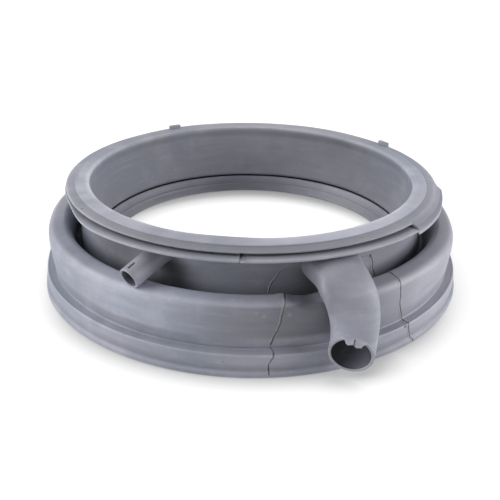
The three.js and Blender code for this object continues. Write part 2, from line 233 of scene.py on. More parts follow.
def make_piece(
    name: str,
    points: Grid,
    turn: Turn,
    marks: dict[Mark, Grid] | None = None,
    material: Material | None = None,
    crease: float = 42.0,
) -> Object:
    """Puts a grid into a mesh object at the origin, with faces outward and only its creases sharp.

    Where only the columns close, a face over the first row and one over the last row close the ends.

    Args:
        name: the object's name.
        points: vertices in millimetres, of shape (rows, columns, 3).
        turn: which ways the grid closes.
        marks: numbers for the material, one for each vertex.
        material: the material, if the piece has it from the start.
        crease: angle in degrees over which an edge is sharp.

    Returns:
        The new object, linked to the scene.
    """
    rows, columns = points.shape[:2]
    points = points.reshape(-1, 3)
    faces = grid_faces(rows, columns, turn)
    caps = np.zeros((0, columns), int)
    if turn is Turn.COLUMNS:
        caps = np.stack([np.arange(columns)[::-1], np.arange((rows - 1) * columns, rows * columns)])
    if signed_volume(points, faces) < 0:
        faces, caps = faces[:, ::-1], caps[:, ::-1]
    corners = np.concatenate([faces.ravel(), caps.ravel()])
    starts = np.concatenate([np.arange(len(faces)) * 4, len(faces) * 4 + np.arange(len(caps)) * columns])
    mesh = bpy.data.meshes.new(name)
    mesh.vertices.add(len(points))
    mesh.vertices.foreach_set("co", (points * METRES).astype(np.float32).ravel())
    mesh.loops.add(len(corners))
    mesh.loops.foreach_set("vertex_index", corners.astype(np.int32))
    mesh.polygons.add(len(starts))
    mesh.polygons.foreach_set("loop_start", starts.astype(np.int32))
    mesh.update(calc_edges=True)
    for mark, values in (marks or {}).items():
        layer = mesh.attributes.new(mark.value, "FLOAT", "POINT")
        layer.data.foreach_set("value", np.asarray(values, np.float32).ravel())
    mesh.validate()
    mesh.shade_smooth()
    mesh.set_sharp_from_angle(angle=np.radians(crease))
    if material:
        mesh.materials.append(material)
    return new_object(name, mesh)


@dataclass(frozen=True)
class Spot:
    """A small mark on the rubber: where it is, how wide, and how dark or light it is."""

    radius: float
    azimuth: float
    height: float
    width: float
    shade: float

    def place(self) -> tuple[float, ...]:
        """The mark's middle in metres: outward times its radius plus up times its height."""
        out, _ = frame_at(np.array(self.azimuth))
        return tuple(float(v) * METRES for v in out * self.radius + UP * self.height)


@dataclass(frozen=True)
class RubberFinish:
    """Grey rubber: mottled, dusty on its edges, darkened in its folds by grime and painted shade, with a soft
    sheen.
    """

    name: str = "grey_rubber"
    body: Triple = (0.329, 0.333, 0.396)
    pale: Triple = (0.396, 0.400, 0.462)
    dull: Triple = (0.254, 0.260, 0.316)
    cool: Triple = (0.262, 0.312, 0.392)
    dust: Triple = (0.63, 0.63, 0.68)
    grime_and_shade: Triple = (0.045, 0.046, 0.055)
    roughness: float = 0.5
    specular: float = 0.75
    grime_and_shade_specular: float = 0.06
    streak_stretch: Triple = (1.0, 1.0, 8.0)
    grain_strength: float = 0.34
    grain_height: float = 0.00022
    torn_height: float = 0.0005
    spots: Sequence[Spot] = ()


@dataclass(frozen=True)
class TornLook:
    """How a crack looks: millimetres from its line, and shares of what shows."""

    wander: float = 2.4
    gap_half: float = 0.72
    gap_full: float = 0.10
    edge_away: float = 0.95
    edge_half: float = 0.9
    edge_full: float = 0.1
    edge_dust: float = 0.28
    gap_dark: float = 0.96


class NodeDesk:
    """Small helper that lays out a material's nodes and joins them."""

    def __init__(self, material: Material) -> None:
        """Clears the material's nodes."""
        material.use_nodes = True
        self.tree = material.node_tree
        self.tree.nodes.clear()

    def add(self, kind: str, **settings: object) -> Node:
        """Adds a node and sets its properties.

        Args:
            kind: the node's type name.
            settings: properties of the node.

        Returns:
            The new node.
        """
        node = self.tree.nodes.new(kind)
        for key, value in settings.items():
            setattr(node, key, value)
        return node

    def join(self, source: Socket, target: Socket) -> None:
        """Joins an output to an input."""
        self.tree.links.new(source, target)

    def feed(self, target: Socket, value: object) -> None:
        """Sets an input to a socket's output or to a plain value.

        Args:
            target: the input.
            value: an output, or a number or colour.
        """
        if isinstance(value, Socket):
            self.join(value, target)
        else:
            target.default_value = value

    def noise(self, where: Socket, scale: float, detail: float, rough: float) -> Socket:
        """Noise pattern.

        Args:
            where: coordinates.
            scale: repeats to the metre.
            detail: octaves.
            rough: weight of the finer octaves.

        Returns:
            The pattern's value, about 0.5 in the middle.
        """
        node = self.add("ShaderNodeTexNoise")
        self.join(where, node.inputs["Vector"])
        for name, value in (("Scale", scale), ("Detail", detail), ("Roughness", rough)):
            node.inputs[name].default_value = value
        return node.outputs["Fac"]

    def ramp(self, value: object, low: float, high: float, *to: float) -> Socket:
        """Eased map of a value from one range to another, clipped at both ends.

        Args:
            value: a number or a socket.
            low: where the range starts.
            high: where it ends.
            to: what the two ends give, 0 and 1 if left out.

        Returns:
            The mapped value.
        """
        node = self.add("ShaderNodeMapRange", interpolation_type="SMOOTHSTEP")
        self.feed(node.inputs["Value"], value)
        for socket, number in zip(node.inputs[1:5], (low, high, *(to or (0.0, 1.0)))):
            socket.default_value = number
        return node.outputs["Result"]

    def math(self, operation: str, *values: object) -> Socket:
        """One arithmetic step.

        Args:
            operation: the step's name in the node.
            values: numbers or sockets, up to three.

        Returns:
            The result.
        """
        node = self.add("ShaderNodeMath", operation=operation)
        for socket, value in zip(node.inputs, values):
            self.feed(socket, value)
        return node.outputs["Value"]

    def vector(self, operation: str, first: Socket, second: Sequence[float] | None = None) -> Node:
        """One step on vectors.

        Args:
            operation: the step's name in the node.
            first: a vector.
            second: a fixed vector, where the step takes one.

        Returns:
            The node, whose output and further inputs depend on the step.
        """
        node = self.add("ShaderNodeVectorMath", operation=operation)
        self.join(first, node.inputs[0])
        if second is not None:
            node.inputs[1].default_value = second
        return node

    def blend(self, share: object, first: object, second: object) -> Socket:
        """Mix of two colours.

        Args:
            share: how much of the second colour.
            first: a colour or a socket.
            second: a colour or a socket.

        Returns:
            The mixed colour.
        """
        node = self.add("ShaderNodeMix", data_type="RGBA", blend_type="MIX")
        self.feed(node.inputs[0], share)
        for socket, colour in ((node.inputs[6], first), (node.inputs[7], second)):
            self.feed(socket, colour if isinstance(colour, Socket) else (*colour, 1.0))
        return node.outputs[2]

    def coat(self, colour: Socket, cover: Socket, amount: float, tint: Sequence[float]) -> Socket:
        """Colour with a tint over it, as much as the cover times an amount."""
        return self.blend(self.math("MULTIPLY", cover, amount), colour, tint)

    def bump(self, height: Socket, strength: float, distance: float, under: Socket | None = None) -> Socket:
        """Surface direction changed by a height.

        Args:
            height: the height's pattern.
            strength: how much of it shows.
            distance: metres that a height of one stands for.
            under: direction that it is laid on, if not the surface's own.

        Returns:
            The new direction.
        """
        node = self.add("ShaderNodeBump")
        node.inputs["Strength"].default_value = strength
        node.inputs["Distance"].default_value = distance
        self.join(height, node.inputs["Height"])
        if under is not None:
            self.join(under, node.inputs["Normal"])
        return node.outputs["Normal"]

    def mark(self, mark: Mark) -> Socket:
        """Value of one of the mesh's own marks."""
        return self.add("ShaderNodeAttribute", attribute_name=mark.value).outputs["Fac"]


def torn_lines(desk: NodeDesk, where: Socket, look: TornLook) -> tuple[Socket, Socket]:
    """Crooked dark gap, painted shade, and the raised edge beside it, from the mesh's distance to the crack's
    line.

    The distance is shifted by a noise, so that the line wanders. The gap is full in the middle and gone at
    its half width, and the raised edge stands to one side of it. Where the mesh gives a strength under zero
    there is a raised line and no gap.

    Args:
        desk: the material's nodes.
        where: object coordinates.
        look: widths of the gap and the edge.

    Returns:
        The strength of the gap and of the raised edge, both from 0 to 1.
    """
    wander = desk.math("MULTIPLY_ADD", desk.noise(where, 150.0, 4.0, 0.7), look.wander, -look.wander / 2)
    away = desk.math("ADD", desk.mark(Mark.TEAR), wander)
    strength = desk.mark(Mark.RENT)
    broken = desk.ramp(desk.noise(where, 90.0, 2.0, 0.5), 0.32, 0.55, 0.45, 1.0)
    gap = desk.ramp(desk.math("ABSOLUTE", away), look.gap_half, look.gap_full)
    gap = desk.math("MULTIPLY", desk.math("MULTIPLY", gap, broken), desk.math("MAXIMUM", strength, 0.0))
    beside = desk.math("ABSOLUTE", desk.math("ADD", away, look.edge_away))
    ridge = desk.ramp(beside, look.edge_half, look.edge_full)
    ridge = desk.math("MULTIPLY", ridge, desk.math("ABSOLUTE", strength))
    return desk.math("MINIMUM", gap, 1.0), desk.math("MINIMUM", ridge, 1.0)


def rubber_material(finish: RubberFinish) -> Material:
    """Grey rubber in layers of colour over a fine moulded grain.

    Broad mottling, streaks and specks come from noises, each a layer of one tint over a range of its noise.
    Dust lies where the mesh says it is worn, and the grime colour where the mesh gives grime and painted
    shade, which also lowers the specular. The mesh's painted light and shade makes the colour paler or darker
    by that share. Cracks and small marks lie on top.

    Args:
        finish: colours and numbers of the rubber.

    Returns:
        The new material.
    """
    material = bpy.data.materials.new(finish.name)
    desk = NodeDesk(material)
    where = desk.add("ShaderNodeTexCoord").outputs["Object"]
    broad = desk.noise(where, 9.0, 4.0, 0.55)
    cloud = desk.noise(where, 34.0, 5.0, 0.6)
    speck = desk.noise(where, 420.0, 2.0, 0.5)
    grain = desk.noise(where, 1500.0, 2.0, 0.6)
    flat = desk.vector("MULTIPLY", where, finish.streak_stretch).outputs["Vector"]
    streak = desk.noise(flat, 24.0, 5.0, 0.62)
    colour = desk.blend(desk.ramp(broad, 0.36, 0.66), finish.dull, finish.body)
    layers = (
        (cloud, 0.45, 0.75, 0.65, finish.pale),
        (streak, 0.48, 0.72, 0.45, finish.pale),
        (streak, 0.47, 0.27, 0.5, finish.dull),
        (broad, 0.50, 0.32, 0.35, finish.cool),
        (speck, 0.58, 0.78, 0.13, finish.dust),
        (speck, 0.42, 0.24, 0.22, finish.dull),
        (grain, 0.56, 0.80, 0.16, finish.dust),
    )
    for pattern, low, high, amount, tint in layers:
        colour = desk.coat(colour, desk.ramp(pattern, low, high), amount, tint)
    worn = desk.math("MULTIPLY", desk.mark(Mark.WEAR), desk.ramp(cloud, 0.30, 0.65, 0.35, 0.8))
    colour = desk.coat(colour, worn, 0.55, finish.dust)
    toned = desk.vector("SCALE", colour)
    paler = desk.math("MULTIPLY_ADD", desk.mark(Mark.PAINTED_LIGHT), desk.ramp(broad, 0.3, 0.7, 0.7, 1.3), 1.0)
    desk.join(paler, toned.inputs["Scale"])
    grime_and_shade_cover = desk.math("MULTIPLY", desk.mark(Mark.GRIME_AND_SHADE), desk.ramp(cloud, 0.25, 0.6, 0.7, 1.0))
    colour = desk.blend(grime_and_shade_cover, toned.outputs["Vector"], finish.grime_and_shade)
    look = TornLook()
    gap, ridge = torn_lines(desk, where, look)
    colour = desk.coat(colour, ridge, look.edge_dust, finish.dust)
    # The crack's gap is painted shade, in the dark grime colour.
    colour = desk.coat(colour, gap, look.gap_dark, finish.grime_and_shade)
    height = desk.math("MULTIPLY_ADD", grain, 0.45, desk.math("MULTIPLY", speck, 0.9))
    for spot in finish.spots:
        reach = desk.vector("DISTANCE", where, spot.place()).outputs["Value"]
        inside = desk.ramp(reach, spot.width * METRES, spot.width * METRES * 0.35)
        colour = desk.coat(colour, inside, abs(spot.shade), finish.grime_and_shade if spot.shade > 0 else finish.dust)
        height = desk.math("MULTIPLY_ADD", inside, -1.2 * np.sign(spot.shade), height)
    normal = desk.bump(height, finish.grain_strength, finish.grain_height)
    normal = desk.bump(desk.math("SUBTRACT", ridge, gap), 1.0, finish.torn_height, normal)
    gloss = desk.ramp(broad, 0.3, 0.7, finish.roughness + 0.07, finish.roughness - 0.05)
    inputs = {
        "Base Color": colour,
        "Roughness": desk.math("MULTIPLY_ADD", speck, 0.08, gloss),
        "Specular IOR Level": desk.ramp(grime_and_shade_cover, 0.0, 0.9, finish.specular, finish.grime_and_shade_specular),
        "Normal": normal,
    }
    shader = desk.add("ShaderNodeBsdfPrincipled")
    for name, socket in inputs.items():
        desk.join(socket, shader.inputs[name])
    output = desk.add("ShaderNodeOutputMaterial")
    desk.join(shader.outputs["BSDF"], output.inputs["Surface"])
    return material


@dataclass(frozen=True)
class Corner:
    """Corner of the section: place, fillet, fineness and marks. Place and fillet may change with azimuth."""

    radius: Value
    height: Value
    fillet: Value = 0.0
    arc: int = 0
    run: int = 1
    wear: float = 0.0
    grime_and_shade: float = 0.0


def rounded(corners: Sequence[Corner], columns: int) -> tuple[Grid, Grid, Grid]:
    """Closed run of corners to points, for every azimuth at once.

    Each fillet is an arc of the corner's turn about a centre on the inside of the bend, cut to just under
    half of the shorter side. The straight run after it is divided evenly, and wear fades out over its first
    and last quarters.

    Args:
        corners: the section's corners in order.
        columns: number of azimuths.

    Returns:
        Points of shape (points, columns, 2), and the wear and the grime and painted shade of each.
    """
    places = [np.broadcast_arrays(c.radius, c.height, c.fillet, np.zeros(columns))[:3] for c in corners]
    table = np.array(places, float)
    at, fillet = np.moveaxis(table[:, :2], 1, -1), table[:, 2]
    into = at - np.roll(at, 1, axis=0)
    length_in = np.linalg.norm(into, axis=-1)
    before = into / length_in[..., None]
    after = np.roll(before, -1, axis=0)
    length_out = np.roll(length_in, -1, axis=0)
    cross = before[..., 0] * after[..., 1] - before[..., 1] * after[..., 0]
    turn = np.arctan2(cross, (before * after).sum(-1))
    half = np.tan(np.abs(turn) / 2 + NO_TURN)
    radius = np.minimum(fillet, HALF_SIDE * np.minimum(length_in, length_out) / half)
    reach = (radius * half)[..., None]
    start = at - before * reach
    end = at + after * reach
    left = np.stack([-before[..., 1], before[..., 0]], axis=-1)
    centre = start + left * (np.sign(turn) * radius)[..., None]
    points: list[Grid] = []
    worn: list[tuple[float, float]] = []
    for k, corner in enumerate(corners):
        following = (k + 1) % len(corners)
        other = corners[following]
        spoke = start[k] - centre[k]
        for step in range(corner.arc + 1):
            angle = turn[k] * (step / corner.arc if corner.arc else 0.5)
            c, s = np.cos(angle), np.sin(angle)
            swung = np.stack([c * spoke[:, 0] - s * spoke[:, 1], s * spoke[:, 0] + c * spoke[:, 1]], axis=-1)
            points.append(centre[k] + swung)
            worn.append((corner.wear, corner.grime_and_shade))
        for step in range(1, corner.run):
            share = step / corner.run
            points.append(end[k] * (1 - share) + start[following] * share)
            near = max(0.0, 1.0 - 4.0 * min(share, 1.0 - share))
            nearest = corner.wear if share < 0.5 else other.wear
            worn.append((nearest * near, corner.grime_and_shade * (1 - share) + other.grime_and_shade * share))
    wear, grime_and_shade = (np.repeat(column[:, None], columns, axis=1) for column in np.array(worn).T)
    return np.stack(points), wear, grime_and_shade


@dataclass(frozen=True)
class Skin:
    """Radius and height of every point of the ring, and azimuth of every column."""

    radius: Grid
    height: Grid
    azimuth: Grid


@dataclass(frozen=True)
class Crack:
    """A crack or a raised line down one side of the seal, as azimuths against falling path values.

    The path value of a place is its height, plus a share of how far it is inside the shoulder's radius.
    """

    radii: tuple[float, float]
    path: tuple[float, ...]
    azimuths: tuple[float, ...]
    strength: float
    shoulder: float = 177.0
    shoulder_share: float = 0.6
    past_end: float = 1.5
    beside: float = 9.0
    seen_beside: float = 5.0

    def lay(self, skin: Skin, tear: Grid, rent: Grid) -> tuple[Grid, Grid]:
        """Lays the crack over the marks so far, in its own band of radii, path values and azimuths.

        The distance is the turn from the crack's line times the radius, with its sign. The strength fades
        out over a millimetre at the ends, and stops at a set turn from the line.

        Args:
            skin: the ring's places.
            tear: distances so far.
            rent: strengths so far.

        Returns:
            The new distances and strengths.
        """
        path = skin.height + self.shoulder_share * np.maximum(0.0, self.shoulder - skin.radius)
        line = np.interp(path, self.path[::-1], self.azimuths[::-1])
        low, high = self.path[-1], self.path[0]
        own = (skin.radius > self.radii[0]) & (skin.radius < self.radii[1])
        own = own & (path > low - self.past_end) & (path < high + self.past_end)
        own = own & (np.abs(skin.azimuth - np.mean(self.azimuths)) < self.beside)
        share = between(path, low - 1.0, low, high, high + 1.0)
        share = share * (np.abs(skin.azimuth - line) < self.seen_beside)
        away = np.radians(skin.azimuth - line) * skin.radius
        return np.where(own, away, tear), np.where(own, self.strength * share, rent)


@dataclass(frozen=True)
class PaintedLight:
    """Painted light and shade: how much paler or darker a band of radii and heights is made, against azimuth.
    """

    radii: tuple[float, float]
    heights: tuple[float, float]
    azimuths: tuple[float, ...]
    painted_lights: tuple[float, ...]
    soft: float = 1.0
    samples: int = 721
    eased_over: int = 25

    def share(self, skin: Skin) -> Grid:
        """Painted light and shade at places on the ring: the eased value by azimuth, faded out beyond the
        band's edges.

        The value is a straight line between the given azimuths, averaged with a raised cosine's weights.

        Args:
            skin: the ring's places.

        Returns:
            The painted light and shade at each.
        """
        inside = 1.0
        for value, (low, high) in ((skin.radius, self.radii), (skin.height, self.heights)):
            inside = inside * between(value, low - self.soft, low, high, high + self.soft)
        line = np.linspace(-TURN / 2, TURN / 2, self.samples)
        weights = np.hanning(self.eased_over)
        padded = np.pad(np.interp(line, self.azimuths, self.painted_lights), self.eased_over // 2, mode="wrap")
        eased = np.convolve(padded, weights / weights.sum(), mode="valid")
        return inside * np.interp(skin.azimuth, line, eased)


@dataclass
class SealRing:
    """The turned part of the moulding: front flange, wall, fold, bulge, tub flange, web and collar."""

    tub_radius: float = 185.0
    height: float = 82.5
    door_radius: float = 139.0
    step_radius: float = 150.0
    step_depth: float = 0.7
    lip_radius: float = 158.5
    lip_top: float = 81.35
    lip_under: float = 79.4
    groove_floor: float = 152.5
    edge_radius: float = 165.2
    edge_top: float = 77.7
    edge_under: float = 75.9
    skirt_foot: float = 73.0
    skirt_from: float = 48.0
    skirt_to: float = 80.5
    stop_azimuth: float = -2.85
    stop_width: float = 0.17
    edge_in: Sequence[tuple[float, Ramp]] = ((6.4, (-140, -116, -66, -42)), (4.6, (62, 88, 92, 122)))
    pinch_in: Sequence[tuple[float, Ramp]] = ((2.6, (-140, -108, -80, -58)), (1.9, (66, 84, 108, 140)))
    coarse_step: float = 1.35
    samples: int = 36001
    cracks: Sequence[Crack] = ()
    painted_lights: Sequence[PaintedLight] = ()
    fine: Sequence[Triple] = (
        (-3.6, -0.5, 0.2), (3.0, 17.0, 0.4), (30.8, 42.6, 0.5), (46.8, 49.4, 0.2), (79.4, 81.8, 0.3),
    )

    def columns(self) -> Grid:
        """Azimuths of the columns, close together in the fine zones and even elsewhere.

        There is one column to a step, which is the size given for the zone that the azimuth is in.

        Returns:
            Azimuths in degrees from -180, without the closing one.
        """
        line = np.linspace(-TURN / 2, TURN / 2, self.samples)
        step = np.full_like(line, self.coarse_step)
        for low, high, size in self.fine:
            step = np.where((line > low) & (line < high), size, step)
        weight = TURN / (self.samples - 1) / step
        return spaced(line, weight, round(weight[1:].sum()))

    def edge_at(self, azimuth: Grid) -> Grid:
        """Radius of the lower lip's edge: the full radius, drawn in at the left and right by eased steps."""
        return self.edge_radius - sum(size * between(azimuth, *ends) for size, ends in self.edge_in)

    def corners(self, azimuth: Grid) -> list[Corner]:
        """The section at each azimuth, from the step on the front face down the drum side and back outside.

        Fixed numbers are the section's own millimetres. The door edge, the groove and the bulge's crest rise
        or draw in by bell curves of the azimuth, and the lip and its edge by eased steps. The stop fills the
        groove at one azimuth, with a gap and a notch beside it. Between two azimuths a skirt covers the
        groove, and corners there go over to their covered values by an eased step.

        Args:
            azimuth: azimuths in degrees.

        Returns:
            The corners in order.
        """
        covered = self.skirt_from, self.skirt_to
        skirt = between(azimuth, covered[0] - 0.7, covered[0] + 0.5, covered[1] - 0.6, covered[1] + 0.6)
        stop = bell(azimuth, self.stop_azimuth, self.stop_width)
        gap = between(azimuth - self.stop_azimuth, 0.25, 0.45, 0.4, 2.2)
        notch = bell(azimuth, self.stop_azimuth + 0.45, 0.24)
        edge = self.edge_at(azimuth)
        lip = self.lip_radius - 0.8 * bell(azimuth, -85, 28) + 3.4 * smooth_step(np.abs(azimuth), 128, 162)
        front = bell(azimuth, 4, 44)
        door = self.door_radius - 1.7 * front - 1.6 * bell(azimuth, -8, 11)
        lift = 0.9 * bell(azimuth, 0, 40)
        peak = 1.1 * bell(azimuth, 7.6, 1.6) - 2.4 * bell(azimuth, 13.2, 4.0)
        right = bell(azimuth, 92, 26)

        def morph(plain: Value, covered: Value) -> Grid:
            """Plain value where the groove is open, covered value where the skirt is."""
            return plain * (1 - skirt) + covered * skirt

        floor = self.groove_floor + (lip - 0.5 - self.groove_floor) * stop
        under = self.lip_under + 0.8 * lift
        top = self.edge_top + lift
        # The corners' grime darkens the folds, the trough, the groove under the lip and a crease on the tub
        # flange: grime and painted shade.
        return [
            Corner(self.step_radius, self.height, 0.3, 1, 5),
            Corner(door, self.height - 0.15, 1.2, 6, 7, wear=1.0),
            Corner(self.door_radius + 2.6, 53.0, 80.0, 4, 6),
            Corner(136.8, 28.0, 3.9, 6, 2),
            Corner(156.4, 28.0, 6.4, 4, 2, grime_and_shade=0.5),
            Corner(163.9, 49.4, 3.0, 3, 1, grime_and_shade=0.5),
            Corner(173.8, 48.8, 6.4, 3, 1, grime_and_shade=0.5),
            Corner(174.2, 41.0, 0.0, 0, 2, grime_and_shade=0.5),
            Corner(172.3, 18.6, 1.0, 1, 1, grime_and_shade=0.5),
            Corner(172.1, 12.6, 1.0, 1, 3, grime_and_shade=0.4),
            Corner(138.4, 27.45, 0.8, 4, 3),
            Corner(134.2, 21.1, 0.4, 1, 1),
            Corner(132.9, 20.9, 0.5, 2, 1, wear=0.5),
            Corner(132.5, 19.4, 0.4, 1, 3),
            Corner(127.8, 14.6, 0.8, 3, 1, wear=0.3),
            Corner(129.6, 12.6, 0.8, 2, 2),
            Corner(139.5, 23.4, 1.6, 2, 3, grime_and_shade=0.2),
            Corner(173.2, 9.6, 1.0, 1, 1, grime_and_shade=0.3),
            Corner(173.2, 0.0, 0.6, 2, 1),
            Corner(176.8, 0.0, 0.5, 1, 1),
            Corner(176.8, 10.0, 0.5, 1, 1, grime_and_shade=0.5),
            Corner(180.4, 10.0, 0.5, 1, 1, grime_and_shade=0.5),
            Corner(180.4, 0.0, 0.6, 2, 1),
            Corner(self.tub_radius, 0.0, 0.7, 3, 2, wear=0.3),
            Corner(184.7, 3.4, 0.7, 3, 1, wear=0.2),
            Corner(182.7, 4.7, 0.7, 3, 3, grime_and_shade=0.22),
            Corner(183.3, 10.4, 4.0, 3, 5),
            Corner(182.2, 17.0, 1.2, 4, 1, wear=0.35),
            Corner(180.4, 16.5, 0.8, 2, 3),
            Corner(174.8, 16.7, 1.2, 3, 1, grime_and_shade=0.12),
            Corner(175.8, 19.2, 1.2, 3, 14, wear=0.2),
            Corner(177.6, 41.0, 40.0, 4, 4),
            Corner(177.2, 52.2 + peak, 9.8, 9, 3, wear=0.12),
            Corner(160.4 + 4.0 * right, 52.9 + peak, 6.2 - 2.0 * right, 7, 3),
            Corner(154.2, 31.4, 3.0, 2, 1, grime_and_shade=0.9),
            Corner(150.4, 31.4, 2.4, 2, 2, grime_and_shade=0.9),
            Corner(149.4, 41.0, 20.0, 2, 9, grime_and_shade=0.25),
            Corner(145.6, 58.0, 60.0, 3, 10),
            Corner(145.0, 74.5, 4.0, 5, 4, grime_and_shade=0.15),
            Corner(np.minimum(162.3, edge - 2.6), morph(75.6 + lift, 75.4), morph(0.0, 1.0), 1, 1),
            Corner(np.minimum(162.8, edge - 2.1), morph(75.65 + lift, self.skirt_foot), 0.2, 1, 1),
            Corner(edge - 1.2 * notch, morph(self.edge_under + lift, self.skirt_foot), 0.8, 3, 1, wear=0.8),
            Corner(morph(edge - 1.6 * notch, edge), morph(top - gap, 74.6), morph(0.7, 4.0), 4, 5, wear=0.9),
            Corner(morph(floor, 164.2), morph(top - 0.9 * gap, 76.6), morph(0.3, 2.0), 2, 1, grime_and_shade=0.35),
            Corner(morph(floor, 162.6), morph(under, 78.3), morph(0.3, 2.0), 2, 3, grime_and_shade=0.35),
            Corner(morph(lip, 160.4), morph(under + 0.7 * gap, 79.9), morph(0.5, 2.0), 2, 1),
            Corner(morph(lip, 156.6), morph(self.lip_top, 81.25), morph(1.0, 5.0), 5, 6, wear=0.75),
            Corner(self.step_radius + self.step_depth, self.height - self.step_depth, 0.3, 1, 1, grime_and_shade=0.12),
        ]

    def surface(self) -> tuple[Grid, dict[Mark, Grid]]:
        """The ring's points: the section turned about Z and made softly uneven, with its marks.

        A point of the section at radius r and height h goes to (r sin a, -r cos a, h). The unevenness is a
        sum of a few sines of the azimuth, and it fades to nothing at the tub face. The outside is pinched in
        at the left and the right.

        Returns:
            Points of shape (points, columns, 3) and the marks.
        """
        azimuth = self.columns()
        section, wear, grime_and_shade = rounded(self.corners(azimuth), len(azimuth))
        radius, height = section[..., 0], section[..., 1]
        a = np.radians(azimuth)[None, :]
        soft = 0.22 * np.sin(3 * a + 0.6) + 0.16 * np.sin(5 * a + 2.1) + 0.09 * np.sin(11 * a + height * 0.06)
        pinch = smooth_step(radius, 152, 172) * (1 - smooth_step(height, 56, 64))
        sides = sum(size * between(azimuth, *ends) for size, ends in self.pinch_in)
        radius = radius + soft * smooth_step(height, 2.0, 40.0) - pinch * sides
        points = frame_at(azimuth)[0][None] * radius[..., None]
        points[..., 2] = height
        return points, self.marks(Skin(radius, height, azimuth[None, :]), wear, grime_and_shade)

    def marks(self, skin: Skin, wear: Grid, grime_and_shade: Grid) -> dict[Mark, Grid]:
        """The ring's marks: the section's wear and grime and painted shade changed round the ring, the cracks
        and the painted light and shade.

        Wear falls at the right of the door edge, and the grime and painted shade at the right of the trough,
        both by a bell curve of the azimuth. The groove's stop is worn and the wedge beside it is dark.

        Args:
            skin: the ring's places.
            wear: the section's wear.
            grime_and_shade: the section's grime and painted shade.

        Returns:
            A grid of values for each mark.
        """
        radius, height, azimuth = skin.radius, skin.height, skin.azimuth
        edge = (radius < 141.0) & (height > 80.0)
        trough = (radius > 150.0) & (radius < 162.0) & (height < 52.0)
        groove = (radius > 149.5) & (height > 76.0)
        stop = bell(azimuth, self.stop_azimuth, self.stop_width)
        stop = stop * smooth_step(height, 76.5, 78.0) * (height < 81.0)
        wedge = bell(azimuth, self.stop_azimuth + 1.3, 0.95) * bell(height, 79.3, 1.0)
        wear = np.maximum(wear * (1 - 0.95 * edge * bell(azimuth, 82, 26)), 0.9 * stop * groove)
        grime_and_shade = np.maximum(grime_and_shade * (1 - 0.35 * trough * bell(azimuth, 92, 30)), 0.9 * wedge * groove)
        tear, rent = FAR_OFF, 0.0
        for crack in self.cracks:
            tear, rent = crack.lay(skin, tear, rent)
        painted_light = sum(painted_light.share(skin) for painted_light in self.painted_lights)
        return all_marks(radius.shape, wear, grime_and_shade, tear, rent, painted_light)

    def build(self, material: Material, bores: Sequence[Object]) -> Object:
        """Makes the ring and cuts the two bores through its wall.

        Args:
            material: the rubber.
            bores: closed tubes to take out, removed afterwards.

        Returns:
            The finished ring.
        """
        points, marks = self.surface()
        ring = make_piece("seal_ring", points, Turn.BOTH, marks)
        for bore in bores:
            cutter = ring.modifiers.new(bore.name, "BOOLEAN")
            cutter.operation = "DIFFERENCE"
            cutter.solver = "EXACT"
            cutter.object = bore
        graph = bpy.context.evaluated_depsgraph_get()
        cut = bpy.data.meshes.new_from_object(ring.evaluated_get(graph))
        ring.modifiers.clear()
        ring.data = cut
        for bore in bores:
            bpy.data.objects.remove(bore)
        cut.materials.clear()
        cut.materials.append(material)
        return ring


